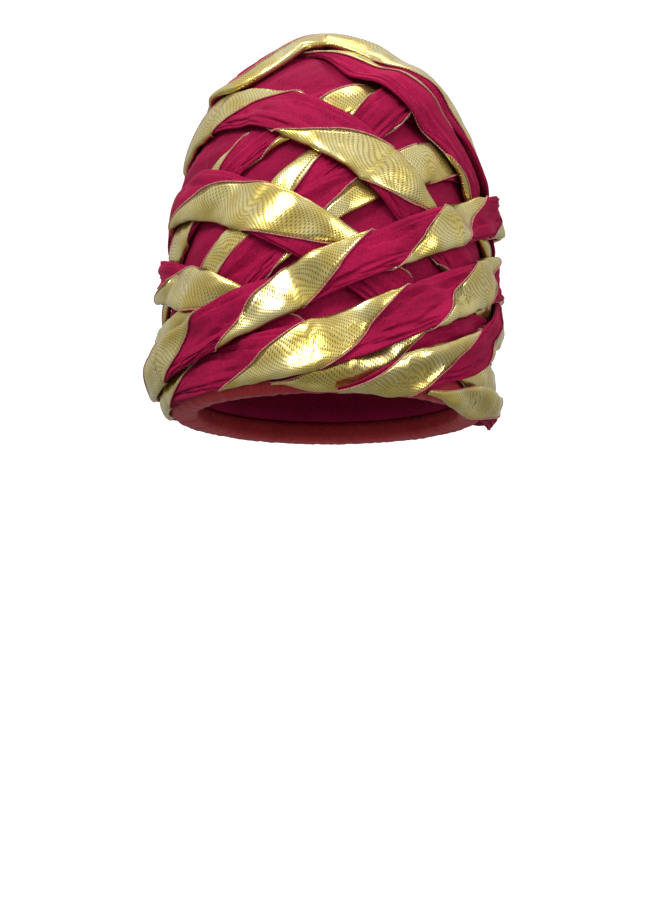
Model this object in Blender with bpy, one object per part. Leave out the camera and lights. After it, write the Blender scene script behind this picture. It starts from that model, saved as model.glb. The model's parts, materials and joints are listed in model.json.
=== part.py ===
# Tied turban pagri: a tall padded crown wound with twisted strips of cloth bordered with gold ribbon.
# Metres, +Z up, the front of the pagri faces -Y. The origin is the middle of the head opening.
import bpy
import numpy as np

# Padded crown, measured on its outside before anything is wound round it
CROWN_HALF_WIDTH = 0.0950
CROWN_HALF_DEPTH = 0.1135
CROWN_HEIGHT = 0.2255
WIDEST_HEIGHT = 0.0540
LOWER_HALF_HEIGHT = 0.1650
CROWN_ROUNDNESS = 2.3
WALL_THICKNESS = 0.0140
LEAN_ANGLE = np.radians(12.0)

# Rim band, a padded roll that binds the lower edge of the crown
BAND_HEIGHT = 0.0120
BAND_DROP = 0.0020
BAND_PROUD = 0.0015
BAND_ROUNDING = 0.0035

# Wound strips
WRAP_WIDTH = 0.0240
WRAP_THICKNESS = 0.0046
SEAM_GAP = 0.0010
LAYING_GAP = 0.0001
PIECE_GAP = 0.0004
PRESSED_SHARE = 0.36
EDGE_MARGIN = 0.0009
TAPER_LENGTH = 0.040
TAPER_SHARE = 0.25

# Mesh fineness
LEAST_STATIONS = 50
STATIONS_PER_TURN = 9
FINE_STEPS = 6
CROWN_SIDES = 40
CROWN_ROWS = 9
SECTION_SQUARENESS = 0.75

# Height of each strip's middle as a share of the crown height, looking at the crown from the eight
# directions in COMPASS. Later rows are wound over earlier ones. Width and thickness are shares of
# WRAP_WIDTH and WRAP_THICKNESS. A closed strip has no start and end. The ribbon faces outwards at
# gold_at, in degrees to the right of the front, and turns over the given number of times per round.
COMPASS = ("back", "back_left", "left", "front_left", "front", "front_right", "right", "back_right")
COLUMNS = ("name",) + COMPASS + ("width", "thickness", "start", "end", "gold_at", "turns")
WRAPS = (
    ("under_wrap_left", 0.34, 0.16, 0.24, 0.51, 0.70, 0.72, 0.71, 0.56, 0.82, 0.90, None, None, 17, 5),
    ("under_wrap_centre", 0.44, 0.22, 0.12, 0.27, 0.55, 0.80, 0.77, 0.68, 0.86, 0.90, None, None, -32, 3),
    ("under_wrap_right", 0.52, 0.34, 0.17, 0.19, 0.44, 0.59, 0.62, 0.60, 0.92, 0.90, None, None, 36, 3),
    ("falling_wrap_rim", 0.17, 0.33, 0.36, 0.255, 0.07, 0.03, 0.05, 0.06, 1.00, 1.00, -205, 16, -47, 5),
    ("falling_wrap_low", 0.27, 0.42, 0.49, 0.497, 0.33, 0.115, 0.045, 0.13, 1.14, 1.05, None, None, -22, 4),
    ("falling_wrap_mid", 0.40, 0.62, 0.70, 0.733, 0.615, 0.346, 0.19, 0.26, 1.10, 1.05, None, None, 16, 6),
    ("falling_wrap_high", 0.62, 0.78, 0.84, 0.86, 0.865, 0.66, 0.38, 0.44, 1.02, 1.05, -12, 250, 125, 2),
    ("crown_wrap", 0.78, 0.84, 0.855, 0.84, 0.945, 0.82, 0.49, 0.57, 1.06, 1.15, None, None, 30, 2),
    ("rising_wrap_rim", 0.10, 0.06, 0.05, 0.03, 0.025, 0.16, 0.22, 0.16, 0.82, 0.95, -18, 70, 7, 5),
    ("tail_wrap", 0.03, 0.03, 0.03, 0.03, 0.03, 0.0, 0.01, 0.04, 0.72, 0.85, 34, 112, 55, 3),
    ("rising_wrap_right", 0.10, 0.04, 0.02, 0.0, -0.01, 0.09, 0.27, 0.22, 0.90, 1.10, 3, 226, 24, 6),
    ("rising_wrap_low", 0.22, 0.10, 0.06, 0.06, 0.10, 0.255, 0.37, 0.34, 1.04, 1.15, None, None, -4, 6),
    ("rising_wrap_mid", 0.36, 0.21, 0.10, 0.13, 0.262, 0.42, 0.53, 0.49, 0.94, 1.15, None, None, -10, 7),
)

CLOTH_COLOUR = (0.37, 0.016, 0.07, 1.0)
GOLD_COLOUR = (0.62, 0.50, 0.22, 1.0)
BAND_COLOUR = (0.30, 0.04, 0.035, 1.0)
CENTRE = np.array((0.0, 0.0, WIDEST_HEIGHT))


# Crown surface
def crown_axes(offset):
    return (
        CROWN_HALF_WIDTH + offset,
        CROWN_HALF_DEPTH + offset,
        CROWN_HEIGHT - WIDEST_HEIGHT + offset,
        LOWER_HALF_HEIGHT + offset,
    )


def ring_share(height, offset=0.0):
    upper, lower = crown_axes(offset)[2:]
    rise = np.asarray(height) - WIDEST_HEIGHT
    slope = np.clip(np.where(rise >= 0, rise / upper, -rise / lower), 0.0, 1.0)
    return (1.0 - slope**CROWN_ROUNDNESS) ** (1.0 / CROWN_ROUNDNESS)


def crown_point(azimuth, height, offset=0.0):
    half_width, half_depth = crown_axes(offset)[:2]
    share = ring_share(height, offset)
    return np.stack(
        [half_width * share * np.sin(azimuth), -half_depth * share * np.cos(azimuth), height + 0 * azimuth],
        axis=-1,
    )


def settle(points):
    """The points moved straight towards the middle of the crown until they lie on it."""
    half_width, half_depth, upper, lower = crown_axes(0.0)
    away = points - CENTRE
    rise = np.where(away[..., 2] >= 0, upper, lower)
    round_share = np.hypot(away[..., 0] / half_width, away[..., 1] / half_depth)
    reach = round_share**CROWN_ROUNDNESS + np.abs(away[..., 2] / rise) ** CROWN_ROUNDNESS
    return CENTRE + away / reach[..., None] ** (1.0 / CROWN_ROUNDNESS)


def outward(points):
    half_width, half_depth, upper, lower = crown_axes(0.0)
    away = points - CENTRE
    rise = np.where(away[..., 2] >= 0, upper, lower)
    round_share = np.maximum(np.hypot(away[..., 0] / half_width, away[..., 1] / half_depth), 1e-6)
    push = round_share ** (CROWN_ROUNDNESS - 2.0)
    tilt = np.abs(away[..., 2] / rise) ** (CROWN_ROUNDNESS - 1.0) * np.sign(away[..., 2]) / rise
    normal = np.stack(
        [push * away[..., 0] / half_width**2, push * away[..., 1] / half_depth**2, tilt], axis=-1
    )
    return normal / np.linalg.norm(normal, axis=-1, keepdims=True)


def leaned(points):
    turn = np.array(
        (
            (1.0, 0.0, 0.0),
            (0.0, np.cos(LEAN_ANGLE), np.sin(LEAN_ANGLE)),
            (0.0, -np.sin(LEAN_ANGLE), np.cos(LEAN_ANGLE)),
        )
    )
    return np.asarray(points) @ turn.T


# Paths of the strips
def height_at(row, azimuth):
    """A smooth closed curve through the eight named heights."""
    heights = np.array([row[side] for side in COMPASS])
    place = (np.degrees(azimuth) + 180.0) / 45.0
    whole = np.floor(place).astype(int)
    part = place - whole
    before, here, after, beyond = (heights[(whole + step) % 8] for step in (-1, 0, 1, 2))
    rise_here = (after - before) / 2.0
    rise_after = (beyond - here) / 2.0
    bend = 3.0 * (after - here) - 2.0 * rise_here - rise_after
    twist = 2.0 * (here - after) + rise_here + rise_after
    return (here + part * (rise_here + part * (bend + part * twist))) * CROWN_HEIGHT


def frames(row, steps):
    """Evenly spaced places along a strip with the directions outwards, along and uphill."""
    closed = row["start"] is None
    first, last = (-180.0, 180.0) if closed else (row["start"], row["end"])
    azimuth = np.radians(np.linspace(first, last, 1441))
    trace = crown_point(azimuth, height_at(row, azimuth))
    travel = np.concatenate([[0.0], np.cumsum(np.linalg.norm(np.diff(trace, axis=0), axis=1))])
    stops = np.linspace(0.0, travel[-1], steps + 1)
    stops = stops[:-1] if closed else stops
    azimuth = np.interp(stops, travel, azimuth)
    place = crown_point(azimuth, height_at(row, azimuth))
    ahead = crown_point(azimuth + 0.002, height_at(row, azimuth + 0.002))
    behind = crown_point(azimuth - 0.002, height_at(row, azimuth - 0.002))
    out = outward(place)
    along = ahead - behind
    along -= out * np.sum(along * out, axis=1, keepdims=True)
    along /= np.linalg.norm(along, axis=1, keepdims=True)
    return {
        "closed": closed,
        "azimuth": azimuth,
        "travel": stops,
        "length": travel[-1],
        "place": place,
        "out": out,
        "along": along,
        "uphill": np.cross(out, along),
    }


def station_count(row):
    """More stations where a strip turns over more often."""
    whole_round = max(LEAST_STATIONS, STATIONS_PER_TURN * row["turns"])
    if row["start"] is None:
        return whole_round
    return round(whole_round * (row["end"] - row["start"]) / 360.0)


def half_widths(row, path):
    """Half the width along the strip, narrowing where a loose end is tucked in."""
    half = np.full(len(path["travel"]), WRAP_WIDTH * row["width"] / 2.0)
    if path["closed"]:
        return half
    to_end = np.minimum(path["travel"], path["length"] - path["travel"])
    return half * (TAPER_SHARE + (1.0 - TAPER_SHARE) * np.clip(to_end / TAPER_LENGTH, 0.0, 1.0))


def covered(points, strip, margin):
    """The nearest fine station of a strip to each point, and whether the strip lies there."""
    path = strip["fine"]
    apart = points[:, None, :] - path["place"][None, :, :]
    nearest = np.argmin(np.sum(apart**2, axis=2), axis=1)
    shift = points - path["place"][nearest]
    across = np.abs(np.sum(shift * path["uphill"][nearest], axis=1))
    forward = np.abs(np.sum(shift * path["along"][nearest], axis=1))
    spacing = path["length"] / len(path["place"])
    return nearest, (across < strip["fine_half"][nearest] + margin) & (forward < spacing + margin)


def across_points(path, half):
    lanes = np.linspace(-1.0, 1.0, 5)
    spread = path["place"][:, None, :] + path["uphill"][:, None, :] * (half[:, None] * lanes)[..., None]
    return settle(spread).reshape(-1, 3), len(lanes)


def spread_to_stations(strip, values):
    """The largest of the fine values up to one station either side of each station."""
    count = len(strip["path"]["place"])
    reach = np.arange(-FINE_STEPS, FINE_STEPS + 1)
    index = np.arange(count)[:, None] * FINE_STEPS + reach
    index = index % len(values) if strip["path"]["closed"] else np.clip(index, 0, len(values) - 1)
    return values[index].max(axis=1)


def to_fine(strip, values):
    whole = np.arange(len(values))
    if strip["path"]["closed"]:
        whole = np.append(whole, len(values))
        values = np.append(values, values[0])
    return np.interp(np.arange(len(strip["fine"]["place"])) / FINE_STEPS, whole, values)


def band_top(points):
    """How far the rim band stands out from the crown at each point."""
    return np.where(points[:, 2] < BAND_HEIGHT + LAYING_GAP + EDGE_MARGIN, BAND_PROUD, 0.0)


def plan_wraps():
    strips = []
    for row in (dict(zip(COLUMNS, values)) for values in WRAPS):
        steps = station_count(row)
        path = frames(row, steps)
        fine = frames(row, steps * FINE_STEPS)
        strips.append(
            {
                "row": row,
                "path": path,
                "fine": fine,
                "half": half_widths(row, path),
                "fine_half": half_widths(row, fine),
            }
        )
    for number, strip in enumerate(strips):
        points, lanes = across_points(strip["fine"], strip["fine_half"])
        pressed = np.zeros(len(points))
        for later in strips[number + 1 :]:
            pressed = np.maximum(pressed, covered(points, later, EDGE_MARGIN)[1])
        pressed = spread_to_stations(strip, pressed.reshape(-1, lanes).mean(axis=1))
        full = WRAP_THICKNESS * strip["row"]["thickness"]
        strip["thick"] = full * (1.0 - PRESSED_SHARE * pressed)
        strip["fine_thick"] = to_fine(strip, strip["thick"])
    for number, strip in enumerate(strips):
        points, lanes = across_points(strip["fine"], strip["fine_half"])
        floor = band_top(points)
        for earlier in strips[:number]:
            nearest, over = covered(points, earlier, EDGE_MARGIN)
            top = earlier["fine_lift"][nearest] + earlier["fine_thick"][nearest]
            floor = np.where(over, np.maximum(floor, top), floor)
        strip["lift"] = spread_to_stations(strip, floor.reshape(-1, lanes).max(axis=1)) + LAYING_GAP
        strip["fine_lift"] = to_fine(strip, strip["lift"])
    return strips


# Solids
def add_object(name, rings, closed, colour, roughness, metallic=0.0, seam_turned=False):
    """One closed solid through rings of points, joined end to end or capped at both ends.

    With seam_turned the last side of each ring is cut along its other diagonal.
    """
    rings = leaned(rings)
    count, sides = rings.shape[:2]
    vertices = rings.reshape(-1, 3).tolist()
    faces = []
    for ring in range(count if closed else count - 1):
        here = ring * sides
        after = ((ring + 1) % count) * sides
        for side in range(sides):
            ahead = (side + 1) % sides
            corners = (here + side, here + ahead, after + ahead, after + side)
            if seam_turned and ahead == 0:
                corners = corners[1:] + corners[:1]
            faces.append(corners[:3])
            faces.append((corners[0],) + corners[2:])
    if not closed:
        last = (count - 1) * sides
        faces += [(0, side + 1, side) for side in range(1, sides - 1)]
        faces += [(last, last + side, last + side + 1) for side in range(1, sides - 1)]
    mesh = bpy.data.meshes.new(name)
    mesh.from_pydata(vertices, [], faces)
    return finish_object(name, mesh, colour, roughness, metallic)


def finish_object(name, mesh, colour, roughness, metallic):
    mesh.validate()
    mesh.update()
    points = np.array([vertex.co for vertex in mesh.vertices])
    corners = points[np.array([triangle.vertices for triangle in mesh.polygons])]
    if np.linalg.det(corners).sum() < 0:
        mesh.flip_normals()
    for face in mesh.polygons:
        face.use_smooth = True
    material = bpy.data.materials.new(name)
    material.use_nodes = True
    shader = material.node_tree.nodes["Principled BSDF"]
    shader.inputs["Base Color"].default_value = colour
    shader.inputs["Roughness"].default_value = roughness
    shader.inputs["Metallic"].default_value = metallic
    mesh.materials.append(material)
    thing = bpy.data.objects.new(name, mesh)
    bpy.context.scene.collection.objects.link(thing)
    return thing


def half_section(strip, facing, side):
    """Four points per station round one half of the flattened strip.

    The half turns with the strip: side 1 holds the ribbon and side -1 the cloth behind it.
    """
    angles = np.radians((-90.0, -30.0, 30.0, 90.0)) + (0.0 if side > 0 else np.pi)
    turned = facing[:, None] + angles[None, :]
    half = strip["half"][:, None]
    thick = strip["thick"][:, None]
    across = half * np.sign(np.cos(turned)) * np.abs(np.cos(turned)) ** SECTION_SQUARENESS
    above = thick / 2.0 * np.sign(np.sin(turned)) * np.abs(np.sin(turned)) ** SECTION_SQUARENESS
    split = np.array((1.0, 0.0, 0.0, 1.0))[None, :] * SEAM_GAP / 2.0
    shrink = 1.0 - SEAM_GAP / thick
    across = across * shrink + split * np.cos(facing)[:, None] * side
    above = above * shrink + split * np.sin(facing)[:, None] * side
    path = strip["path"]
    spread = settle(path["place"][:, None, :] + path["uphill"][:, None, :] * across[..., None])
    return spread + outward(spread) * (strip["lift"][:, None] + thick / 2.0 + above)[..., None]


def build_wrap(strip):
    row = strip["row"]
    path = strip["path"]
    centre = np.interp(np.radians(row["gold_at"]), path["azimuth"], path["travel"])
    whole_turn = path["length"] if path["closed"] else path["length"] * 360.0 / (row["end"] - row["start"])
    facing = np.pi / 2.0 - 2.0 * np.pi * row["turns"] * (path["travel"] - centre) / whole_turn
    cloth = half_section(strip, facing, -1)
    ribbon = half_section(strip, facing, 1)
    add_object(row["name"], cloth, path["closed"], CLOTH_COLOUR, 0.85, seam_turned=True)
    add_object(row["name"].replace("wrap", "ribbon"), ribbon, path["closed"], GOLD_COLOUR, 0.35, 0.8)


def crown_shell(height, offset):
    """Rows of points from the given height up to the last ring below the top."""
    azimuth = np.radians(np.arange(CROWN_SIDES) * 360.0 / CROWN_SIDES)
    top = CROWN_HEIGHT + offset
    reach = np.linspace(0.0, 1.0, CROWN_ROWS + 1)[:-1]
    heights = height + (top - height) * np.sin(reach * np.pi / 2.0)
    return np.stack([crown_point(azimuth, level, offset) for level in heights]), np.array((0.0, 0.0, top))


def build_crown():
    start = BAND_HEIGHT + PIECE_GAP
    outer, outer_top = crown_shell(start, 0.0)
    inner, inner_top = crown_shell(start, -WALL_THICKNESS)
    rows = np.concatenate([inner[::-1], outer])
    points = leaned(np.concatenate([rows.reshape(-1, 3), [inner_top, outer_top]]))
    faces = []
    for row in range(len(rows) - 1):
        for side in range(CROWN_SIDES):
            ahead = (side + 1) % CROWN_SIDES
            low, high = row * CROWN_SIDES, (row + 1) * CROWN_SIDES
            faces.append((low + side, low + ahead, high + ahead))
            faces.append((low + side, high + ahead, high + side))
    last = (len(rows) - 1) * CROWN_SIDES
    for side in range(CROWN_SIDES):
        ahead = (side + 1) % CROWN_SIDES
        faces.append((len(points) - 2, ahead, side))
        faces.append((len(points) - 1, last + side, last + ahead))
    mesh = bpy.data.meshes.new("crown_cap")
    mesh.from_pydata(points.tolist(), [], faces)
    finish_object("crown_cap", mesh, CLOTH_COLOUR, 0.9, 0.0)


def build_band():
    """A roll with a rounded section from inside the wall to just outside it."""
    azimuth = np.radians(np.arange(CROWN_SIDES) * 360.0 / CROWN_SIDES)
    inside, outside = -WALL_THICKNESS, BAND_PROUD
    bottom, top = -BAND_DROP, BAND_HEIGHT
    section = (
        (inside, top),
        (outside - BAND_ROUNDING, top),
        (outside, top - BAND_ROUNDING),
        (outside, bottom + BAND_ROUNDING),
        (outside - BAND_ROUNDING, bottom),
        (inside + BAND_ROUNDING, bottom),
        (inside, bottom + BAND_ROUNDING),
    )
    rings = np.stack([crown_point(azimuth, level, offset) for offset, level in section], axis=1)
    add_object("rim_band", rings, True, BAND_COLOUR, 0.55)


for thing in list(bpy.data.objects):
    bpy.data.objects.remove(thing, do_unlink=True)
build_crown()
build_band()
for planned in plan_wraps():
    build_wrap(planned)
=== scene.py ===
import json
import math
import bmesh
import bpy
import numpy as np
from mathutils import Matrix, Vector, noise
from mathutils.kdtree import KDTree

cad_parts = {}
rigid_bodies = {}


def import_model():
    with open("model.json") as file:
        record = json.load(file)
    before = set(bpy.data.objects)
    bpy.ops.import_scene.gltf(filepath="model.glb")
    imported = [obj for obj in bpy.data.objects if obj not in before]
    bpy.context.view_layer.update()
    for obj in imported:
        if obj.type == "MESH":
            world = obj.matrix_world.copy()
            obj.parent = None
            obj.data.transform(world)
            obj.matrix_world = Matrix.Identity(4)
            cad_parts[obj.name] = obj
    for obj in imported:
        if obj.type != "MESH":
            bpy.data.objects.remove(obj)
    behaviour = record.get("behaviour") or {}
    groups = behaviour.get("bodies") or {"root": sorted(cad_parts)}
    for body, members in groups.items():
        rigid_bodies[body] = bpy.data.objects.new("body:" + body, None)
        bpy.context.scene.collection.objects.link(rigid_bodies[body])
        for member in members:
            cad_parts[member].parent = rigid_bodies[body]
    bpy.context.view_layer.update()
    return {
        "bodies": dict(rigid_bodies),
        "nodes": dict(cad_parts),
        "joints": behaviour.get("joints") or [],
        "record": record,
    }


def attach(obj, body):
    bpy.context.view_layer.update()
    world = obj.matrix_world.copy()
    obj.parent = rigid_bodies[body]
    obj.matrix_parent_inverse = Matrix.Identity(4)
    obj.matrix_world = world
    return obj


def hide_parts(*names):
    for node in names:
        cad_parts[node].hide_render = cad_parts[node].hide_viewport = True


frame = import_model()
print("frame loaded:", len(frame["nodes"]), "solids")

# Padded crown under the winding, in metres and with the sizes of the frame's solids
crown = {
    "halfWidth": 0.0950, "halfDepth": 0.1135, "height": 0.2255, "widestAt": 0.0540,
    "lowerHalf": 0.1650, "roundness": 2.3, "wall": 0.0140, "leanBack": 12.0,
    "bandTop": 0.0120, "bandProud": 0.0015, "seam": 0.0004,
    "puff": 0.0032, "puffWidth": 0.016,         # how far the cloth swells out of the gaps in the winding
    "tuck": 0.0011, "tuckPitch": 0.0052,        # creases that follow the strips beside them
    "tuckFade": 0.011, "tuckWaver": 5.0, "tuckShare": 0.65,
    "fold": 0.0013, "foldLength": 0.075, "foldSpread": 3.2, "foldSharp": 0.10, "foldRidge": 0.5,
    "foldBlend": 0.006, "foldLayers": ((3.0, 1.0), (11.0, 0.6)),
    "gatherAt": (0.075, 0.080, 0.130),          # folds run from here, under the winding
    "lump": 0.0010, "lumpSize": 0.030, "stripBlend": 0.004,
    "sides": 340, "rows": 120, "innerRows": 40, "topReach": 0.9975, "clothSteps": (0.003, 0.0018),
}
middle = np.array((0.0, 0.0, crown["widestAt"]))

# What every strip shares
wrap = {
    "width": 0.0240, "thickness": 0.0046, "rise": 0.0004, "squareness": 0.72, "domeRoundness": 2.6,
    "pressed": 0.50, "pressReach": 1.15, "pressBlend": 0.3, "pressPasses": 5,   # flattened by later strips
    "drapeSteps": 2, "drapePasses": 7,                                          # draped over earlier ones
    "taper": 0.040, "taperShare": 0.12, "endThin": 0.4, "endLength": 0.025,     # loose ends
    "snap": 0.7,                                    # how straight the ribbon's edge crosses the strip
    "stationGap": 0.0024, "lanes": 9, "topSides": 46, "hiddenSides": 6, "turnedUnder": 20.0,
    "fold": 0.0021, "foldWidth": 0.078, "foldLength": 0.055, "foldSpread": 2.8, "foldDrift": 5.0,
    "foldLayers": ((1.0, 1.0), (1.7, 0.55)), "foldValley": 0.84, "foldRidge": 0.35,
    "slub": 0.0005, "slubLength": 0.021, "inset": 0.0002, "girthShare": 4.6,
    "ribbonRise": 0.00065, "ribbonInner": 0.00015, "ribbonSides": 18,
    "buckle": 0.0011, "buckleLength": 0.012, "fineBuckle": 0.25, "fineLength": 0.0055,
    "cordRadius": 0.00032, "stitchGap": 0.0018, "stitchLength": 0.0008,
    "stitchProud": 1.45, "stitchSlant": 0.6,
}
traceSteps = 1441       # how finely a path is measured
traceAhead = 0.002      # angle in radians over which a path's direction is taken
batch = 4000            # points looked up at a time
bandMargin = 0.001      # how far above the rim band a strip still rests on it
edgeBlend = 0.5         # how softly buckles end at the ribbon's edge
clothBlend = 0.3        # how softly folds begin there
fineSeeds = 30          # where the seeds of the finer noises start
slubSeeds = 90

# Height of each strip's middle as a share of the crown height in eight directions, later ones on top.
# goldAt is where the ribbon faces outwards, in degrees right of the front; turns is per round.
compass = ("back", "backLeft", "left", "frontLeft", "front", "frontRight", "right", "backRight")
columns = ("name",) + compass + ("width", "thickness", "start", "end", "goldAt", "turns")
wraps = (
    ("under_wrap_left", 0.34, 0.16, 0.24, 0.51, 0.70, 0.72, 0.71, 0.56, 0.82, 0.90, None, None, 17, 5),
    ("under_wrap_centre", 0.44, 0.22, 0.12, 0.27, 0.55, 0.80, 0.77, 0.68, 0.86, 0.90, None, None, -32, 3),
    ("under_wrap_right", 0.52, 0.34, 0.17, 0.19, 0.44, 0.59, 0.62, 0.60, 0.92, 0.90, None, None, 36, 3),
    ("falling_wrap_rim", 0.17, 0.33, 0.36, 0.255, 0.07, 0.03, 0.05, 0.06, 1.00, 1.00, -205, 16, -47, 5),
    ("falling_wrap_low", 0.27, 0.42, 0.49, 0.497, 0.33, 0.115, 0.045, 0.13, 1.14, 1.05, None, None, -22, 4),
    ("falling_wrap_mid", 0.40, 0.62, 0.70, 0.733, 0.615, 0.346, 0.19, 0.26, 1.10, 1.05, None, None, 16, 6),
    ("falling_wrap_high", 0.62, 0.78, 0.84, 0.86, 0.865, 0.66, 0.38, 0.44, 1.02, 1.05, -12, 250, 125, 2),
    ("crown_wrap", 0.78, 0.84, 0.855, 0.84, 0.945, 0.82, 0.49, 0.57, 1.06, 1.15, None, None, 30, 2),
    ("rising_wrap_rim", 0.10, 0.06, 0.05, 0.03, 0.025, 0.16, 0.22, 0.16, 0.82, 0.95, -18, 70, 7, 5),
    ("tail_wrap", 0.03, 0.03, 0.03, 0.03, 0.03, 0.0, 0.01, 0.04, 0.72, 0.85, 34, 112, 55, 3),
    ("rising_wrap_right", 0.10, 0.04, 0.02, 0.0, -0.01, 0.09, 0.27, 0.22, 0.90, 1.10, 3, 226, 24, 6),
    ("rising_wrap_low", 0.22, 0.10, 0.06, 0.06, 0.10, 0.255, 0.37, 0.34, 1.04, 1.15, None, None, -4, 6),
    ("rising_wrap_mid", 0.36, 0.21, 0.10, 0.13, 0.262, 0.42, 0.53, 0.49, 0.94, 1.15, None, None, -10, 7),
)


# The crown's surface
def crownAxes(offset):
    return (
        crown["halfWidth"] + offset,
        crown["halfDepth"] + offset,
        crown["height"] - crown["widestAt"] + offset,
        crown["lowerHalf"] + offset,
    )


def crownPoint(azimuth, height, offset=0.0):
    halfWidth, halfDepth, upper, lower = crownAxes(offset)
    rise = height - crown["widestAt"]
    slope = np.clip(np.where(rise >= 0, rise / upper, -rise / lower), 0.0, 1.0)
    share = (1.0 - slope ** crown["roundness"]) ** (1.0 / crown["roundness"])
    return np.stack(
        [halfWidth * share * np.sin(azimuth), -halfDepth * share * np.cos(azimuth), height + 0 * azimuth],
        axis=-1,
    )


def settle(points):
    """The points moved towards the middle of the crown until they lie on it."""
    halfWidth, halfDepth, upper, lower = crownAxes(0.0)
    away = points - middle
    rise = np.where(away[..., 2] >= 0, upper, lower)
    level = np.hypot(away[..., 0] / halfWidth, away[..., 1] / halfDepth)
    reach = level ** crown["roundness"] + np.abs(away[..., 2] / rise) ** crown["roundness"]
    return middle + away / reach[..., None] ** (1.0 / crown["roundness"])


def outward(points):
    halfWidth, halfDepth, upper, lower = crownAxes(0.0)
    away = points - middle
    rise = np.where(away[..., 2] >= 0, upper, lower)
    level = np.maximum(np.hypot(away[..., 0] / halfWidth, away[..., 1] / halfDepth), 1e-6)
    push = level ** (crown["roundness"] - 2.0)
    tilt = np.abs(away[..., 2] / rise) ** (crown["roundness"] - 1.0) * np.sign(away[..., 2]) / rise
    normal = np.stack([push * away[..., 0] / halfWidth**2, push * away[..., 1] / halfDepth**2, tilt], axis=-1)
    return normal / np.linalg.norm(normal, axis=-1, keepdims=True)


def leanTurn():
    """The whole turban leans back, as it is worn."""
    lean = math.radians(crown["leanBack"])
    return np.array(((1, 0, 0), (0, math.cos(lean), math.sin(lean)), (0, -math.sin(lean), math.cos(lean))))


def leaned(points):
    return points @ leanTurn().T


def unleaned(points):
    return points @ leanTurn()


def smoothStep(value):
    value = np.clip(value, 0.0, 1.0)
    return value * value * (3.0 - 2.0 * value)


def squared(value, power):
    """A sine or cosine with its corners filled out."""
    return np.sign(value) * np.abs(value) ** power


def roughness(places):
    flat = np.array([noise.noise(place) for place in places.reshape(-1, 3)])
    return flat.reshape(places.shape[:-1])


def ripple(along, around, seed, scale):
    """Soft noise that closes round the section, for buckles and slubs."""
    ringSize, seedStep = 0.9, 7.3
    turned = np.stack([np.cos(around), np.sin(around)], axis=-1) * ringSize
    return roughness(np.concatenate([turned + seed * seedStep, (along / scale)[..., None]], axis=-1))


# Paths of the strips
def heightAt(row, azimuth):
    """A smooth closed curve through the eight heights of a row."""
    heights = np.array([row[side] for side in compass])
    place = (np.degrees(azimuth) + 180.0) * len(compass) / 360.0
    whole = np.floor(place).astype(int)
    part = place - whole
    before, here, after, beyond = (heights[(whole + step) % len(compass)] for step in (-1, 0, 1, 2))
    riseHere = (after - before) / 2.0
    riseAfter = (beyond - here) / 2.0
    bend = 3.0 * (after - here) - 2.0 * riseHere - riseAfter
    twist = 2.0 * (here - after) + riseHere + riseAfter
    return (here + part * (riseHere + part * (bend + part * twist))) * crown["height"]


def pathOf(row):
    """Evenly spaced stations along a strip, with its directions, its width and the way its ribbon faces."""
    closed = row["start"] is None
    first, last = (-180.0, 180.0) if closed else (row["start"], row["end"])
    azimuth = np.radians(np.linspace(first, last, traceSteps))
    trace = crownPoint(azimuth, heightAt(row, azimuth))
    travel = np.concatenate([[0.0], np.cumsum(np.linalg.norm(np.diff(trace, axis=0), axis=1))])
    steps = round(travel[-1] / wrap["stationGap"])
    stops = np.linspace(0.0, travel[-1], steps + 1)
    stops = stops[:-1] if closed else stops
    azimuth = np.interp(stops, travel, azimuth)
    place = crownPoint(azimuth, heightAt(row, azimuth))
    ahead = crownPoint(azimuth + traceAhead, heightAt(row, azimuth + traceAhead))
    behind = crownPoint(azimuth - traceAhead, heightAt(row, azimuth - traceAhead))
    out = outward(place)
    along = ahead - behind
    along -= out * np.sum(along * out, axis=1, keepdims=True)
    along /= np.linalg.norm(along, axis=1, keepdims=True)
    half = np.full(len(stops), wrap["width"] * row["width"] / 2.0)
    if not closed:
        toEnd = np.minimum(stops, travel[-1] - stops)
        half *= wrap["taperShare"] + (1.0 - wrap["taperShare"]) * smoothStep(toEnd / wrap["taper"])
    wholeTurn = travel[-1] if closed else travel[-1] * 360.0 / (last - first)
    centre = np.interp(np.radians(row["goldAt"]), azimuth, stops)
    twist = np.pi / 2.0 - 2.0 * np.pi * row["turns"] * (stops - centre) / wholeTurn
    straight = 2.0 / np.pi * np.arcsin(np.sin(twist))
    straight = np.sign(straight) * np.abs(straight) ** (1.0 / wrap["squareness"])
    bent = np.sign(np.cos(twist)) * (np.arcsin(np.clip(straight, -1.0, 1.0)) - np.arcsin(np.sin(twist)))
    return {
        "row": row, "closed": closed, "azimuth": azimuth, "travel": stops, "length": travel[-1],
        "place": place, "out": out, "along": along, "uphill": np.cross(out, along),
        "half": half, "facing": twist + wrap["snap"] * bent, "twist": twist,
    }


def under(points, strip):
    """Where points lie on a strip: nearest station, share across it, and whether they are on it."""
    nearest = np.empty(len(points), int)
    for first in range(0, len(points), batch):
        part = points[first:first + batch]
        apart = ((part[:, None, :] - strip["place"][None, :, :]) ** 2).sum(axis=2)
        nearest[first:first + batch] = np.argmin(apart, axis=1)
    shift = points - strip["place"][nearest]
    across = np.sum(shift * strip["uphill"][nearest], axis=1) / strip["half"][nearest]
    forward = np.abs(np.sum(shift * strip["along"][nearest], axis=1))
    return nearest, across, forward < wrap["stationGap"]


def atLane(field, nearest, share):
    """A strip's lane field read at any share across it."""
    lanes = field.shape[1]
    place = np.clip((share + 1.0) / 2.0, 0.0, 1.0) * (lanes - 1)
    low = np.minimum(place.astype(int), lanes - 2)
    part = place - low
    return field[nearest, low] * (1.0 - part) + field[nearest, low + 1] * part


def besides(field, closed):
    """The field one station before and one after, repeated at a loose end."""
    before, after = np.roll(field, 1, axis=0), np.roll(field, -1, axis=0)
    if not closed:
        before[0], after[-1] = field[0], field[-1]
    return before, after


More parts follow.
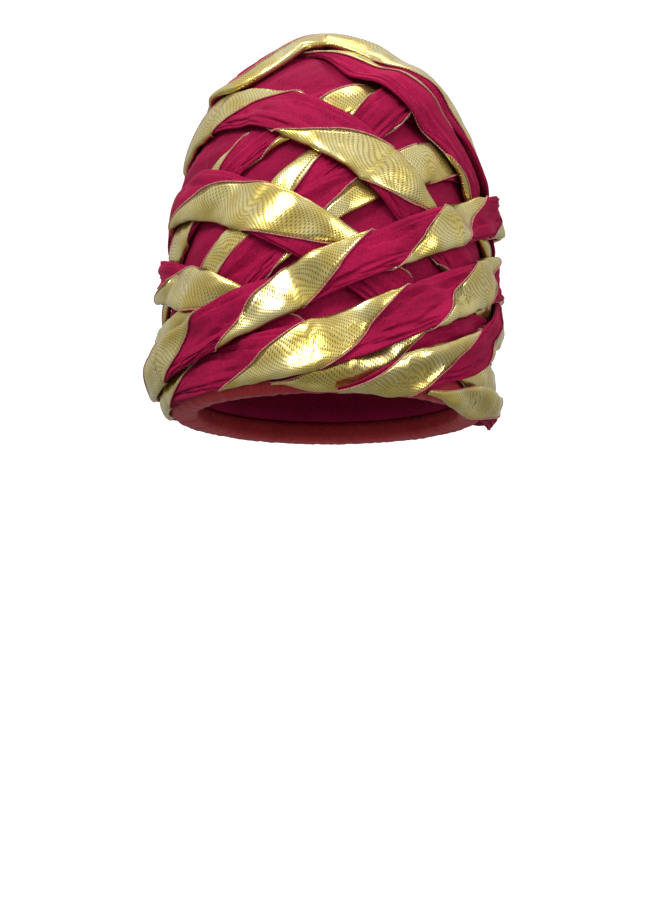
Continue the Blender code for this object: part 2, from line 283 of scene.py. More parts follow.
def soften(field, closed, passes):
    for _ in range(passes):
        before, after = besides(field, closed)
        field = (before + 2.0 * field + after) / 4.0
    padded = np.pad(field, ((0, 0), (1, 1)), mode="edge")
    return (padded[:, :-2] + 2.0 * padded[:, 1:-1] + padded[:, 2:]) / 4.0


def widen(field, closed, steps):
    for _ in range(steps):
        before, after = besides(field, closed)
        field = np.maximum(field, np.maximum(before, after))
    padded = np.pad(field, ((0, 0), (1, 1)), mode="edge")
    return np.maximum(padded[:, 1:-1], np.maximum(padded[:, :-2], padded[:, 2:]))


def bulge(share):
    """How high the padded strip stands at a share of its half width, against its middle."""
    power = wrap["domeRoundness"]
    return (1.0 - np.clip(np.abs(share), 0.0, 1.0) ** power) ** (1.0 / power)


def lanePoints(strip):
    shares = np.linspace(-1.0, 1.0, wrap["lanes"])
    spread = strip["uphill"][:, None, :] * (strip["half"][:, None] * shares)[..., None]
    return settle(strip["place"][:, None, :] + spread).reshape(-1, 3)


def layStrips():
    """Each strip is pressed flat by those wound over it and rests on those beneath it."""
    strips = [pathOf(dict(zip(columns, values))) for values in wraps]
    for number, strip in enumerate(strips):
        points = lanePoints(strip)
        pressed = np.zeros(len(points))
        for later in strips[number + 1:]:
            _, share, on = under(points, later)
            inside = (wrap["pressReach"] - np.abs(share)) / wrap["pressBlend"]
            pressed = np.maximum(pressed, on * smoothStep(inside))
        pressed = soften(pressed.reshape(-1, wrap["lanes"]), strip["closed"], wrap["pressPasses"])
        strip["thick"] = wrap["thickness"] * strip["row"]["thickness"] * (1.0 - wrap["pressed"] * pressed)
        if not strip["closed"]:
            toEnd = np.minimum(strip["travel"], strip["length"] - strip["travel"])
            thinned = wrap["endThin"] + (1.0 - wrap["endThin"]) * smoothStep(toEnd / wrap["endLength"])
            strip["thick"] *= thinned[:, None]
    for number, strip in enumerate(strips):
        points = lanePoints(strip)
        floor = np.where(points[:, 2] < crown["bandTop"] + bandMargin, crown["bandProud"], 0.0)
        for earlier in strips[:number]:
            nearest, share, on = under(points, earlier)
            on &= np.abs(share) < 1.0
            top = atLane(earlier["lift"], nearest, share) + wrap["ribbonRise"]
            top += atLane(earlier["thick"], nearest, share) * (1.0 + bulge(share)) / 2.0
            floor = np.where(on, np.maximum(floor, top), floor)
        floor = floor.reshape(-1, wrap["lanes"])
        draped = widen(floor, strip["closed"], wrap["drapeSteps"])
        draped = soften(draped, strip["closed"], wrap["drapePasses"])
        strip["lift"] = np.maximum(draped, floor) + wrap["rise"] + wrap["ribbonRise"]
    return strips


# Building meshes
def addObject(name, mesh, material):
    thing = bpy.data.objects.new(name, mesh)
    bpy.context.scene.collection.objects.link(thing)
    mesh.materials.clear()
    mesh.materials.append(material)
    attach(thing, "root")
    return thing


def makeMesh(name, points, along, around, closedAlong):
    """A closed mesh through rings of points. along and around are its UV map, one ring and side longer."""
    rings, sides = points.shape[:2]
    last = rings if closedAlong else rings - 1
    ring, side = np.meshgrid(np.arange(last), np.arange(sides), indexing="ij")
    ring, side = ring.reshape(-1), side.reshape(-1)
    corners = ((0, 0), (1, 0), (1, 1), (0, 1))
    faces = np.stack([((ring + r) % rings) * sides + (side + s) % sides for r, s in corners], axis=1)
    uv = np.stack([field[ring + r, side + s] for r, s in corners for field in (along, around)], axis=1)
    faceList = faces.tolist()
    if not closedAlong:
        faceList += [list(range(sides)), [(rings - 1) * sides + s for s in range(sides)]]
    mesh = bpy.data.meshes.new(name)
    mesh.from_pydata(leaned(points.reshape(-1, 3)).tolist(), [], faceList)
    values = np.zeros(len(mesh.loops) * 2)
    values[:uv.size] = uv.reshape(-1)
    mesh.uv_layers.new(name="cloth").data.foreach_set("uv", values)
    shaped = bmesh.new()
    shaped.from_mesh(mesh)
    bmesh.ops.recalc_face_normals(shaped, faces=shaped.faces)
    shaped.to_mesh(mesh)
    shaped.free()
    mesh.polygons.foreach_set("use_smooth", [True] * len(mesh.polygons))
    mesh.update()
    return mesh


def sectionPoints(strip, turned, grow):
    """Points round the flattened strip at these section angles, grown outwards by these lengths."""
    half = strip["half"][:, None]
    across = (half + grow) * squared(np.cos(turned), wrap["squareness"])
    share = np.clip(across / half, -1.0, 1.0)
    stations = np.repeat(np.arange(len(strip["travel"]))[:, None], turned.shape[1], axis=1)
    thick = atLane(strip["thick"], stations, share)
    lift = atLane(strip["lift"], stations, share)
    above = (thick / 2.0 + grow) * squared(np.sin(turned), wrap["squareness"])
    spread = settle(strip["place"][:, None, :] + strip["uphill"][:, None, :] * across[..., None])
    return spread + outward(spread) * (lift + thick / 2.0 + above)[..., None]


def ringCoords(strip, sides):
    """Travel along the strip, one ring longer where it closes."""
    along = strip["travel"]
    if strip["closed"]:
        along = np.append(along, strip["length"])
    return np.repeat(along[:, None], sides, axis=1)


def buckles(strip, onCloth, seed):
    """Uneven facets of the ribbon, which the cloth under it shares."""
    along = np.repeat(strip["travel"][:, None], onCloth.shape[1], axis=1)
    inside = np.clip(np.cos(onCloth), 0.0, 1.0)
    rough = ripple(along, onCloth, seed, wrap["buckleLength"])
    rough += wrap["fineBuckle"] * ripple(along, onCloth, seed + fineSeeds, wrap["fineLength"])
    return wrap["buckle"] * rough * smoothStep(inside / edgeBlend)


def folds(strip, turned, onCloth, seed):
    """Long creases in the cloth where it is gathered between two showings of the ribbon."""
    along = np.repeat(strip["travel"][:, None], turned.shape[1], axis=1)
    drift = wrap["foldDrift"] * along
    across = np.cos(turned) * wrap["foldSpread"]
    depth = np.zeros(turned.shape)
    seedStep, layerStep, seamLength, topBlend = 5.1, 9, 0.02, 0.35
    for layer, (scale, deep) in enumerate(wrap["foldLayers"]):
        level = 0 * along + seed * seedStep + layer * layerStep
        places = np.stack([across * scale - drift, along / wrap["foldLength"] * scale, level], axis=-1)
        rough = roughness(places)
        valley = np.exp(-(rough / wrap["foldWidth"]) ** 2)
        depth += deep * (wrap["foldRidge"] * rough - wrap["foldValley"] * valley)
    if strip["closed"]:
        toEnd = np.minimum(along, strip["length"] - along)
        depth *= smoothStep(toEnd / seamLength)
    onTop = smoothStep(np.sin(turned) / topBlend)
    return wrap["fold"] * depth * inCloth(onCloth) * onTop


def inCloth(onCloth):
    """1 on the cloth side of the strip, falling to 0 at the ribbon's edges."""
    apart = np.abs(np.angle(np.exp(1j * onCloth))) - np.pi / 2.0
    return smoothStep(apart / clothBlend)


def buildCloth(strip, number):
    """The strip's cloth, with most of its points on the side that shows."""
    row = strip["row"]
    girth = wrap["girthShare"] * strip["half"].max() / (2 * np.pi)
    first, last = -wrap["turnedUnder"], 180.0 + wrap["turnedUnder"]
    top = np.linspace(first, last, wrap["topSides"])
    hidden = np.linspace(last, first + 360.0, wrap["hiddenSides"] + 2)[1:-1]
    around = np.radians(np.concatenate([top, hidden]))
    turned = np.repeat(around[None, :], len(strip["travel"]), axis=0)
    onCloth = turned - strip["facing"][:, None]
    along = np.repeat(strip["travel"][:, None], len(around), axis=1)
    grow = buckles(strip, onCloth, number) + folds(strip, turned, onCloth, number)
    grow += wrap["slub"] * inCloth(onCloth) * ripple(along, onCloth, number + slubSeeds, wrap["slubLength"])
    points = sectionPoints(strip, turned, grow - wrap["inset"])
    twist = strip["twist"]
    if strip["closed"]:
        twist = np.append(twist, twist[0] - 2.0 * np.pi * row["turns"])
    wound = (np.append(around, around[0] + 2.0 * np.pi)[None, :] - twist[:, None]) * girth
    mesh = makeMesh(row["name"], points, ringCoords(strip, len(around) + 1), wound, strip["closed"])
    cloth = addObject(row["name"] + "_cloth", mesh, magenta)
    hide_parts(row["name"])
    return cloth


def buildRibbon(strip, number, cloth):
    """The gold ribbon over half of the strip's girth. Returns the lines of its two edges."""
    row = strip["row"]
    girth = wrap["girthShare"] * strip["half"].max() / (2 * np.pi)
    half = np.linspace(-np.pi / 2.0, np.pi / 2.0, wrap["ribbonSides"])
    back = half[::-3]
    shells = []
    for lanes, rise in ((half, wrap["ribbonRise"]), (back, wrap["ribbonInner"])):
        onCloth = np.repeat(lanes[None, :], len(strip["travel"]), axis=0)
        grow = buckles(strip, onCloth, number) + rise
        shells.append(sectionPoints(strip, onCloth + strip["facing"][:, None], grow))
    outer = shells[0]
    sides = np.concatenate([half, back, half[:1]]) * girth
    along = ringCoords(strip, len(sides))
    sides = np.repeat(sides[None, :], len(along), axis=0)
    name = row["name"].replace("wrap", "ribbon")
    mesh = makeMesh(name, np.concatenate(shells, axis=1), along, sides, strip["closed"])
    ribbon = addObject(name + "_gold", mesh, gold)
    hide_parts(name)
    return outer[:, 0], outer[:, -1]


# Finishes
def startMaterial(name, roughness):
    material = bpy.data.materials.new(name)
    material.use_nodes = True
    shader = material.node_tree.nodes["Principled BSDF"]
    shader.inputs["Roughness"].default_value = roughness
    return material, material.node_tree.nodes, material.node_tree.links, shader


def mathNode(nodes, links, operation, first, second=None, third=None):
    """Each input is a plain number or another node's output."""
    node = nodes.new("ShaderNodeMath")
    node.operation = operation
    for socket, value in zip(node.inputs, (first, second, third)):
        if value is None:
            continue
        if isinstance(value, (int, float)):
            socket.default_value = value
        else:
            links.new(value, socket)
    return node.outputs[0]


def noiseNode(nodes, links, vector, scale, detail, roughness):
    node = nodes.new("ShaderNodeTexNoise")
    node.inputs["Scale"].default_value = scale
    node.inputs["Detail"].default_value = detail
    node.inputs["Roughness"].default_value = roughness
    links.new(vector, node.inputs["Vector"])
    return node.outputs[0]


def mixColour(nodes, links, factor, first, second):
    node = nodes.new("ShaderNodeMix")
    node.data_type = "RGBA"
    links.new(factor, node.inputs[0])
    for socket, value in ((node.inputs[6], first), (node.inputs[7], second)):
        if isinstance(value, tuple):
            socket.default_value = value
        else:
            links.new(value, socket)
    return node.outputs[2]


def spread(nodes, links, value, low, high):
    node = nodes.new("ShaderNodeMapRange")
    node.interpolation_type = "SMOOTHSTEP"
    node.inputs[1].default_value = low
    node.inputs[2].default_value = high
    links.new(value, node.inputs[0])
    return node.outputs[0]


def bump(nodes, links, height, strength, distance, before=None):
    node = nodes.new("ShaderNodeBump")
    node.inputs["Strength"].default_value = strength
    node.inputs["Distance"].default_value = distance
    links.new(height, node.inputs["Height"])
    if before is not None:
        links.new(before, node.inputs["Normal"])
    return node.outputs[0]


def clothCoords(nodes, links):
    """Lengths along and across the piece, from its own UV map."""
    place = nodes.new("ShaderNodeUVMap")
    place.uv_map = "cloth"
    split = nodes.new("ShaderNodeSeparateXYZ")
    links.new(place.outputs[0], split.inputs[0])
    return split.outputs[0], split.outputs[1]


def threads(nodes, links, pitch):
    """A plain weave: how high each crossing thread stands."""
    waves = []
    for travel in clothCoords(nodes, links):
        turned = mathNode(nodes, links, "MULTIPLY", travel, math.pi / pitch)
        waves.append(mathNode(nodes, links, "ABSOLUTE", mathNode(nodes, links, "SINE", turned)))
    return mathNode(nodes, links, "MULTIPLY", *waves)


clothLook = {
    "dark": (0.15, 0.0012, 0.021, 1), "light": (0.41, 0.0045, 0.062, 1), "roughness": 0.80,
    "patchSize": 34.0, "patchShare": 0.35, "grainSize": 1500.0, "grainShare": 0.9, "shades": (0.38, 0.83),
    "weave": 0.0011, "weaveDepth": 0.00012, "slubSize": 190.0, "slubDepth": 0.0005,
    "sheen": 0.04, "sheenSpread": 0.45, "sheenTint": (0.9, 0.35, 0.5, 1), "shine": 0.12,
}
# The crown's cloth is the strips' magenta in darker tones: painted shade for the gaps between the strips and
# for the inside of the crown.
shadedCrownLook = {**clothLook, "light": (0.34, 0.004, 0.052, 1), "dark": (0.13, 0.001, 0.018, 1)}
rimLook = {
    **clothLook, "dark": (0.30, 0.018, 0.022, 1), "light": (0.58, 0.050, 0.055, 1), "sheen": 0.10,
    "weave": 0.0008, "weaveDepth": 0.00008, "slubDepth": 0.0006, "roughness": 0.5,
}


def clothMaterial(name, look, onSurface):
    """Fine matte cloth. With onSurface the weave follows the piece's UV map."""
    material, nodes, links, shader = startMaterial(name, look["roughness"])
    room = nodes.new("ShaderNodeTexCoord").outputs["Object"]
    patches = noiseNode(nodes, links, room, look["patchSize"], 4.0, 0.6)
    grain = noiseNode(nodes, links, room, look["grainSize"], 2.0, 0.7)
    faded = mathNode(nodes, links, "MULTIPLY", patches, look["patchShare"])
    shade = mathNode(nodes, links, "MULTIPLY_ADD", grain, look["grainShare"], faded)
    shade = spread(nodes, links, shade, *look["shades"])
    links.new(mixColour(nodes, links, shade, look["dark"], look["light"]), shader.inputs["Base Color"])
    slubs = noiseNode(nodes, links, room, look["slubSize"], 3.0, 0.55)
    normal = bump(nodes, links, slubs, 0.55, look["slubDepth"])
    height = threads(nodes, links, look["weave"]) if onSurface else grain
    links.new(bump(nodes, links, height, 0.5, look["weaveDepth"], normal), shader.inputs["Normal"])
    shader.inputs["Sheen Weight"].default_value = look["sheen"]
    shader.inputs["Sheen Roughness"].default_value = look["sheenSpread"]
    shader.inputs["Sheen Tint"].default_value = look["sheenTint"]
    shader.inputs["Specular IOR Level"].default_value = look["shine"]
    return material


goldLook = {
    "foil": (0.70, 0.54, 0.14, 1), "pale": (0.83, 0.73, 0.34, 1), "thread": (0.13, 0.085, 0.02, 1),
    "pitch": 0.0017, "depth": 0.00012, "dotEdge": (0.12, 0.80),
    "toneSize": 45.0, "tones": (0.38, 0.68), "metal": 0.45, "foilMetal": 0.5,
    "roughness": 0.22, "shineSize": 120.0, "shineRange": 0.24, "shineLower": 0.08,
    "crumpleSize": 150.0, "crumple": 0.0008,
}


def goldMaterial(look):
    """Tissue of flat metal strips with a small dark dot wherever a thread ties them down."""
    material, nodes, links, shader = startMaterial("gold_tissue", look["roughness"])
    room = nodes.new("ShaderNodeTexCoord").outputs["Object"]
    along, across = clothCoords(nodes, links)
    waves = []
    for operation in ("ADD", "SUBTRACT"):
        slanted = mathNode(nodes, links, operation, along, across)
        turned = mathNode(nodes, links, "MULTIPLY", slanted, math.pi / look["pitch"])
        wave = mathNode(nodes, links, "SINE", turned)
        waves.append(mathNode(nodes, links, "MULTIPLY", wave, wave))
    height = mathNode(nodes, links, "ADD", *waves)
    foil = spread(nodes, links, height, *look["dotEdge"])
    tone = spread(nodes, links, noiseNode(nodes, links, room, look["toneSize"], 3.0, 0.6), *look["tones"])
    metal = mixColour(nodes, links, tone, look["foil"], look["pale"])
    links.new(mixColour(nodes, links, foil, look["thread"], metal), shader.inputs["Base Color"])
    metallic = mathNode(nodes, links, "MULTIPLY_ADD", foil, look["foilMetal"], look["metal"])
    links.new(metallic, shader.inputs["Metallic"])
    patches = noiseNode(nodes, links, room, look["shineSize"], 1.0, 0.5)
    lowest = look["roughness"] - look["shineLower"]
    shine = mathNode(nodes, links, "MULTIPLY_ADD", patches, look["shineRange"], lowest)
    links.new(shine, shader.inputs["Roughness"])
    crumpled = noiseNode(nodes, links, room, look["crumpleSize"], 1.0, 0.4)
    soft = bump(nodes, links, crumpled, 0.5, look["crumple"])
    links.new(bump(nodes, links, height, 0.22, look["depth"], soft), shader.inputs["Normal"])
    return material


threadLook = {
    "colour": (0.56, 0.21, 0.17, 1), "darker": 0.62, "toneSize": 420.0, "tones": (0.35, 0.65),
    "roughness": 0.65, "sheen": 0.2,
}


def threadMaterial(name, look):
    material, nodes, links, shader = startMaterial(name, look["roughness"])
    room = nodes.new("ShaderNodeTexCoord").outputs["Object"]
    tone = spread(nodes, links, noiseNode(nodes, links, room, look["toneSize"], 2.0, 0.6), *look["tones"])
    darker = tuple(channel * look["darker"] for channel in look["colour"][:3]) + (1,)
    links.new(mixColour(nodes, links, tone, darker, look["colour"]), shader.inputs["Base Color"])
    shader.inputs["Sheen Weight"].default_value = look["sheen"]
    return material


magenta = clothMaterial("magenta_cloth", clothLook, True)
shadedCrownCloth = clothMaterial("crown_cloth", shadedCrownLook, False)
rimSatin = clothMaterial("rim_satin", rimLook, True)
gold = goldMaterial(goldLook)
edgeThread = threadMaterial("edge_thread", threadLook)
print("finishes made")

strips = layStrips()
print("strips laid:", len(strips))
edges = [buildRibbon(strip, number, buildCloth(strip, number)) for number, strip in enumerate(strips)]
print("cloth and ribbons built")


# The ribbon's stitched edges
def edgeTree():
    """A cord along a line of points, wrapped with slanted stitches at even steps."""
    tree = bpy.data.node_groups.new("stitchedEdge", "GeometryNodeTree")
    tree.interface.new_socket(name="Geometry", in_out="OUTPUT", socket_type="NodeSocketGeometry")
    sockets = {}
    for label, kind in (
        ("Geometry", "NodeSocketGeometry"), ("Cord radius", "NodeSocketFloat"),
        ("Stitch gap", "NodeSocketFloat"), ("Stitch size", "NodeSocketVector"),
        ("Stitch slant", "NodeSocketFloat"), ("Thread", "NodeSocketMaterial"),
    ):
        sockets[label] = tree.interface.new_socket(name=label, in_out="INPUT", socket_type=kind).identifier
    given = tree.nodes.new("NodeGroupInput").outputs
    made = {}
    for key, kind in (
        ("curve", "GeometryNodeMeshToCurve"), ("ring", "GeometryNodeCurvePrimitiveCircle"),
        ("cord", "GeometryNodeCurveToMesh"), ("stops", "GeometryNodeCurveToPoints"),
        ("bead", "GeometryNodeMeshIcoSphere"), ("slant", "ShaderNodeCombineXYZ"),
        ("lean", "FunctionNodeEulerToRotation"), ("turn", "FunctionNodeRotateRotation"),
        ("place", "GeometryNodeInstanceOnPoints"), ("join", "GeometryNodeJoinGeometry"),
        ("real", "GeometryNodeRealizeInstances"), ("smooth", "GeometryNodeSetShadeSmooth"),
        ("paint", "GeometryNodeSetMaterial"), ("out", "NodeGroupOutput"),
    ):
        made[key] = tree.nodes.new(kind)
    made["stops"].mode = "LENGTH"
    made["turn"].rotation_space = "LOCAL"
    made["ring"].inputs["Resolution"].default_value = 6
    made["bead"].inputs["Radius"].default_value = 1.0
    made["bead"].inputs["Subdivisions"].default_value = 1
    made["cord"].inputs["Fill Caps"].default_value = True
    for source, target in (
        (given["Geometry"], made["curve"].inputs["Mesh"]),
        (made["curve"].outputs["Curve"], made["cord"].inputs["Curve"]),
        (given["Cord radius"], made["ring"].inputs["Radius"]),
        (made["ring"].outputs["Curve"], made["cord"].inputs["Profile Curve"]),
        (made["curve"].outputs["Curve"], made["stops"].inputs["Curve"]),
        (given["Stitch gap"], made["stops"].inputs["Length"]),
        (given["Stitch slant"], made["slant"].inputs["Y"]),
        (made["slant"].outputs[0], made["lean"].inputs[0]),
        (made["stops"].outputs["Rotation"], made["turn"].inputs[0]),
        (made["lean"].outputs[0], made["turn"].inputs[1]),
        (made["stops"].outputs["Points"], made["place"].inputs["Points"]),
        (made["bead"].outputs["Mesh"], made["place"].inputs["Instance"]),
        (made["turn"].outputs[0], made["place"].inputs["Rotation"]),
        (given["Stitch size"], made["place"].inputs["Scale"]),
        (made["place"].outputs["Instances"], made["join"].inputs[0]),
        (made["cord"].outputs["Mesh"], made["join"].inputs[0]),
        (made["join"].outputs[0], made["real"].inputs[0]),
        (made["real"].outputs[0], made["smooth"].inputs[0]),
        (made["smooth"].outputs[0], made["paint"].inputs["Geometry"]),
        (given["Thread"], made["paint"].inputs["Material"]),
        (made["paint"].outputs["Geometry"], made["out"].inputs[0]),
    ):
        tree.links.new(source, target)
    return tree, sockets


def stitchEdges(strip, sides, tree, sockets):
    """Both edges of one ribbon as a plain mesh."""
    points = leaned(np.concatenate(sides))
    count = len(sides[0])
    lines = []
    for first in (0, count):
        lines += [(first + step, first + step + 1) for step in range(count - 1)]
        if strip["closed"]:
            lines.append((first + count - 1, first))
    mesh = bpy.data.meshes.new("edge_path")
    mesh.from_pydata(points.tolist(), lines, [])
    path = bpy.data.objects.new("edge_path", mesh)
    bpy.context.scene.collection.objects.link(path)
    grown = path.modifiers.new("edge", "NODES")
    grown.node_group = tree
    grown[sockets["Cord radius"]] = wrap["cordRadius"]
    grown[sockets["Stitch gap"]] = wrap["stitchGap"]
    proud = wrap["cordRadius"] * wrap["stitchProud"]
    grown[sockets["Stitch size"]] = (proud, proud, wrap["stitchLength"])
    grown[sockets["Stitch slant"]] = wrap["stitchSlant"]
    grown[sockets["Thread"]] = edgeThread
    bpy.context.view_layer.update()
    shown = path.evaluated_get(bpy.context.evaluated_depsgraph_get())
    made = bpy.data.meshes.new_from_object(shown)
    bpy.data.objects.remove(path, do_unlink=True)
    addObject(strip["row"]["name"].replace("wrap", "edge") + "_stitches", made, edgeThread)


tree, sockets = edgeTree()
for strip, sides in zip(strips, edges):
    stitchEdges(strip, sides, tree, sockets)
print("edges stitched")


def gridCoords(rings, sides, steps):
    """A UV map with even steps along and around."""
    return np.meshgrid(np.arange(rings) * steps[0], np.arange(sides) * steps[1], indexing="ij")


# Crown, swelling out of the gaps in the winding
def buildCrown():
    azimuth = np.arange(crown["sides"]) * 2 * np.pi / crown["sides"]
    start = crown["bandTop"] + crown["seam"]
    reach = np.sin(np.linspace(0.0, crown["topReach"], crown["rows"]) * np.pi / 2.0)
    outer = np.stack([crownPoint(azimuth, start + (crown["height"] - start) * level) for level in reach])
    points = outer.reshape(-1, 3)
    far = 1.0
    gap = np.full(len(points), far)      # how far each point lies from the nearest strip
    for strip in strips:
        _, share, on = under(points, strip)
        gap = np.minimum(gap, np.where(on, (np.abs(share) - 1.0) * strip["half"].max(), far))
    clear = smoothStep(gap / crown["stripBlend"])
    slow = roughness(points / crown["lumpSize"])
    swell = crown["puff"] * smoothStep(gap / crown["puffWidth"])
    creased = np.cos(2 * np.pi * gap / crown["tuckPitch"] + crown["tuckWaver"] * slow)
    creased *= np.exp(-gap / crown["tuckFade"])
    swell += crown["tuck"] * creased * clear * smoothStep(slow + crown["tuckShare"])
    swell += crown["lump"] * slow * clear
    away = leaned(points) - leaned(np.array(crown["gatherAt"]))
    bearing = np.arctan2(away[:, 1], away[:, 0])
    reach = np.linalg.norm(away, axis=1)
    right, forward = np.cos(bearing) * crown["foldSpread"], np.sin(bearing) * crown["foldSpread"]
    for seed, share in crown["foldLayers"]:
        rough = roughness(np.stack([right + seed, forward, reach / crown["foldLength"]], axis=-1))
        creased = crown["foldRidge"] * rough - np.exp(-(rough / crown["foldSharp"]) ** 2)
        swell += crown["fold"] * share * creased * smoothStep(gap / crown["foldBlend"])
    outer = outer + outward(outer) * swell.reshape(outer.shape[:2])[..., None]
    top = crown["height"] - crown["wall"]
    coarse = np.sin(np.linspace(crown["topReach"], 0.0, crown["innerRows"]) * np.pi / 2.0)
    inner = np.stack([crownPoint(azimuth, start + (top - start) * level, -crown["wall"]) for level in coarse])
    shell = np.concatenate([inner, outer])
    mesh = makeMesh("crown", shell, *gridCoords(len(shell), crown["sides"] + 1, crown["clothSteps"]), False)
    # The crown takes the darker magenta, which is painted shade for the gaps and the inside.
    piece = addObject("crown_padding", mesh, shadedCrownCloth)
    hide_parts("crown_cap")


buildCrown()
print("crown built")

# Padded band that binds the rim, sewn down at even steps and plumped by its filling
band = {
    "drop": 0.0020, "sides": 420, "around": 30, "squareness": 0.62, "clothSteps": (0.0016, 0.0012),
    "pucker": 0.0006, "puckers": 22, "puckerSlant": 0.35, "slimmer": 0.6,
    "voxel": 0.004, "pressure": 4500.0, "pointMass": 0.01, "stretch": 1.0, "stiffness": 0.05, "frames": 20,
    "most": 0.0016, "neighbours": 6, "blur": 0.0015,
    "sewnEvery": 0.021, "sewnWide": 0.0045, "sewnHigh": 0.006, "innerShare": 0.90,
}


def coordsOf(mesh):
    flat = np.empty(len(mesh.vertices) * 3)
    mesh.vertices.foreach_get("co", flat)
    return flat.reshape(-1, 3)


def plump(piece):
    """Cloth under pressure on a coarse copy. The fine mesh then follows what the copy did."""
    scene = bpy.context.scene
    rough = bpy.data.objects.new("rim_rough", piece.data.copy())
    scene.collection.objects.link(rough)
    coarse = rough.modifiers.new("coarse", "REMESH")
    coarse.mode = "VOXEL"
    coarse.voxel_size = band["voxel"]
    graph = bpy.context.evaluated_depsgraph_get()
    mesh = bpy.data.meshes.new_from_object(rough.evaluated_get(graph))
    rough.modifiers.remove(coarse)
    rough.data = mesh
    start = coordsOf(mesh)
    held = rough.vertex_groups.new(name="sewn")
    for number in np.flatnonzero(sewnDown(start)):
        held.add([int(number)], 1.0, "REPLACE")
    cloth = rough.modifiers.new("cloth", "CLOTH")
    cloth.settings.use_pressure = True
    cloth.settings.uniform_pressure_force = band["pressure"]
    cloth.settings.mass = band["pointMass"]
    cloth.settings.tension_stiffness = band["stretch"]
    cloth.settings.compression_stiffness = band["stretch"]
    cloth.settings.shear_stiffness = band["stretch"] / 3.0
    cloth.settings.bending_stiffness = band["stiffness"]
    cloth.settings.effector_weights.gravity = 0.0
    cloth.settings.vertex_group_mass = "sewn"
    cloth.point_cache.frame_start = 1
    cloth.point_cache.frame_end = band["frames"]
    for frame in range(1, band["frames"] + 1):
        scene.frame_set(frame)
    graph = bpy.context.evaluated_depsgraph_get()
    swollen = bpy.data.meshes.new_from_object(rough.evaluated_get(graph))
    moved = coordsOf(swollen) - start
    far = np.linalg.norm(moved, axis=1, keepdims=True)
    moved *= np.minimum(1.0, band["most"] / np.maximum(far, 1e-9))
    average, most = round(float(far.mean() * 1000), 2), round(float(far.max() * 1000), 2)
    print("rim cloth moved", average, "mm on average,", most, "mm at most")
    bpy.data.objects.remove(rough, do_unlink=True)
    scene.frame_set(1)
    follow(piece.data, start, moved)


def follow(mesh, start, moved):
    """Moves each vertex as the coarse points nearest to it moved."""
    tree = KDTree(len(start))
    for number, place in enumerate(start):
        tree.insert(place, number)
    tree.balance()
    for vertex in mesh.vertices:
        near = tree.find_n(vertex.co, band["neighbours"])
        weights = [1.0 / (distance + band["blur"]) ** 2 for _, _, distance in near]
        step = sum(moved[number] * weight for (_, number, _), weight in zip(near, weights)) / sum(weights)
        vertex.co += Vector(step)
    mesh.update()


def sewnDown(points):
    """Which points are held: stitched spots on the band's upper outer edge, and all of its inner face."""
    local = unleaned(points)
    right, forward = local[:, 0] / crown["halfWidth"], -local[:, 1] / crown["halfDepth"]
    travel = np.arctan2(right, forward) * (crown["halfWidth"] + crown["halfDepth"]) / 2.0
    toSpot = (0.5 - np.abs((travel / band["sewnEvery"]) % 1.0 - 0.5)) * band["sewnEvery"]
    spot = (toSpot < band["sewnWide"] / 2.0) & (local[:, 2] > crown["bandTop"] - band["sewnHigh"])
    return (np.hypot(right, forward) < band["innerShare"]) | spot


def buildBand():
    azimuth = np.arange(band["sides"]) * 2 * np.pi / band["sides"]
    halfWide = (crown["bandProud"] + crown["wall"]) / 2.0
    halfHigh = (crown["bandTop"] + band["drop"]) / 2.0
    rings = []
    for angle in np.arange(band["around"]) * 2 * np.pi / band["around"]:
        slant = np.full(len(azimuth), angle * band["puckerSlant"])
        places = [np.cos(azimuth) * band["puckers"], np.sin(azimuth) * band["puckers"], slant]
        grow = -band["pucker"] * (band["slimmer"] + roughness(np.stack(places, axis=-1)))
        outwards = squared(np.cos(angle), band["squareness"])
        upwards = squared(np.sin(angle), band["squareness"])
        offset = crown["bandProud"] - halfWide + (halfWide + grow) * outwards
        level = halfHigh - band["drop"] + (halfHigh + grow) * upwards
        rings.append(crownPoint(azimuth, level, offset))
    points = np.stack(rings, axis=1)
    coords = gridCoords(band["sides"] + 1, band["around"] + 1, band["clothSteps"])
    mesh = makeMesh("rim", points, *coords, True)
    piece = addObject("rim_padding", mesh, rimSatin)
    plump(piece)
    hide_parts("rim_band")


buildBand()
print("rim band built")

# Stage, camera and soft studio light
studio = {
    "floorAt": -0.27, "floorInner": 0.7, "floorRadius": 1.3, "curve": 0.8, "curveSteps": 12,
    "wallTop": 4.0, "sides": 64,
    "pale": (0.86, 0.86, 0.86, 1), "glow": 0.60,
    "distance": 0.80, "elevation": 3.4, "lens": 52.8, "aside": 0.0012, "aimDrop": 1.389,
    "skyLow": 0.30, "skyHigh": 0.80, "skyFrom": -0.5, "skyTo": 0.8,
}
lamps = {
    "key": {"place": (-0.70, -1.00, 1.10), "aim": (0, 0, 0.10), "size": (0.45, 0.6), "power": 17},
    "fill": {"place": (1.05, -1.10, 0.55), "aim": (0, 0, 0.10), "size": (0.5, 0.8), "power": 8},
    "top": {"place": (0.05, 0.25, 1.35), "aim": (0, 0, 0.10), "size": (0.9, 0.5), "power": 5},
}


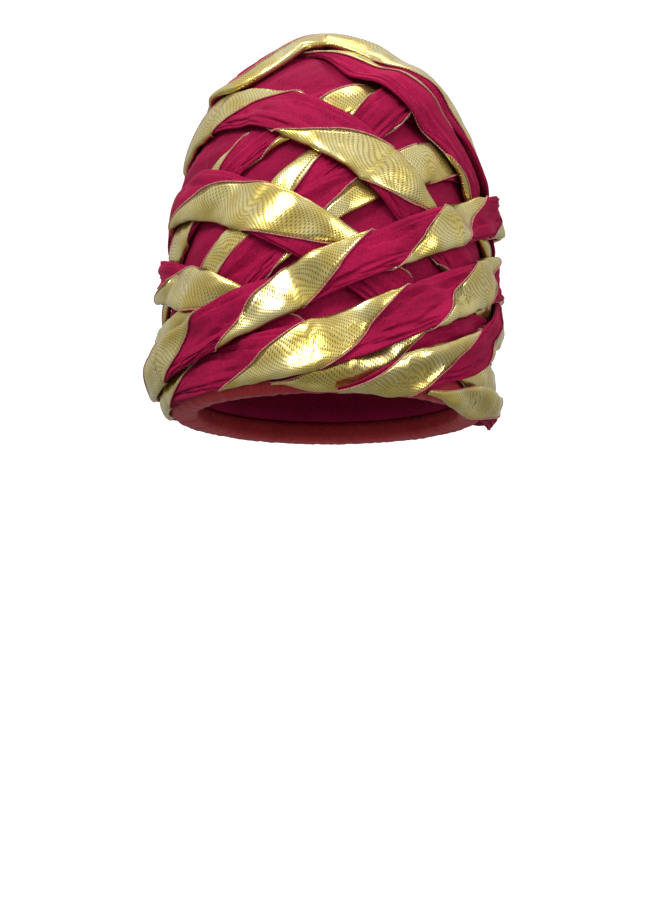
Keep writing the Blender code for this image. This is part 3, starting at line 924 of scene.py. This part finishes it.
def buildStage():
    """A round pale floor that curves up into a wall. Only the camera sees it, so it casts no colour."""
    profile = [(studio["floorInner"], studio["floorAt"])]
    for step in range(studio["curveSteps"] + 1):
        angle = math.pi / 2.0 * step / studio["curveSteps"]
        radius = studio["floorRadius"] + studio["curve"] * math.sin(angle)
        profile.append((radius, studio["floorAt"] + studio["curve"] * (1 - math.cos(angle))))
    profile.append((studio["floorRadius"] + studio["curve"], studio["wallTop"]))
    sides = studio["sides"]
    points = []
    for radius, level in profile:
        for turn in np.arange(sides) * 2 * np.pi / sides:
            points.append((radius * math.cos(turn), radius * math.sin(turn), level))
    faces = [list(range(sides))]
    for ring in range(len(profile) - 1):
        for side in range(sides):
            ahead = (side + 1) % sides
            low, high = ring * sides, (ring + 1) * sides
            faces.append((low + side, high + side, high + ahead, low + ahead))
    mesh = bpy.data.meshes.new("backdrop")
    mesh.from_pydata(points, [], faces)
    mesh.polygons.foreach_set("use_smooth", [True] * len(faces))
    material, _, _, shader = startMaterial("backdrop", 0.9)
    shader.inputs["Base Color"].default_value = studio["pale"]
    shader.inputs["Emission Color"].default_value = studio["pale"]
    shader.inputs["Emission Strength"].default_value = studio["glow"]
    mesh.materials.append(material)
    backdrop = bpy.data.objects.new("backdrop", mesh)
    bpy.context.scene.collection.objects.link(backdrop)
    backdrop.visible_diffuse = False
    backdrop.visible_glossy = False
    backdrop.visible_shadow = False


def addSky():
    """Soft light from all round, brighter from above."""
    world = bpy.data.worlds.new("studio")
    world.use_nodes = True
    nodes, links = world.node_tree.nodes, world.node_tree.links
    split = nodes.new("ShaderNodeSeparateXYZ")
    links.new(nodes.new("ShaderNodeTexCoord").outputs["Generated"], split.inputs[0])
    level = nodes.new("ShaderNodeMapRange")
    level.inputs[1].default_value = studio["skyFrom"]
    level.inputs[2].default_value = studio["skyTo"]
    level.inputs[3].default_value = studio["skyLow"]
    level.inputs[4].default_value = studio["skyHigh"]
    links.new(split.outputs[2], level.inputs[0])
    links.new(level.outputs[0], nodes["Background"].inputs[1])
    nodes["Background"].inputs[0].default_value = (1, 1, 1, 1)
    bpy.context.scene.world = world


def addLight(name, place, aim, size, power):
    data = bpy.data.lights.new(name, "AREA")
    data.shape = "RECTANGLE"
    data.size, data.size_y = size
    data.energy = power
    lamp = bpy.data.objects.new(name, data)
    lamp.location = place
    lamp.rotation_euler = (Vector(aim) - Vector(place)).to_track_quat("-Z", "Y").to_euler()
    bpy.context.scene.collection.objects.link(lamp)


def addCamera():
    data = bpy.data.cameras.new("camera")
    data.lens = studio["lens"]
    data.sensor_width = 36.0       # mm, as for the lens
    data.dof.use_dof = False
    camera = bpy.data.objects.new("camera", data)
    up = math.radians(studio["elevation"])
    down = math.radians(-studio["elevation"] - studio["aimDrop"])
    camera.location = (studio["aside"], -studio["distance"] * math.cos(up), studio["distance"] * math.sin(up))
    camera.rotation_euler = Vector((0, math.cos(down), math.sin(down))).to_track_quat("-Z", "Y").to_euler()
    bpy.context.scene.collection.objects.link(camera)
    bpy.context.scene.camera = camera


buildStage()
addCamera()
for name, lamp in lamps.items():
    addLight(name, **lamp)
addSky()
bpy.context.scene.view_settings.view_transform = "Standard"
print("studio set")
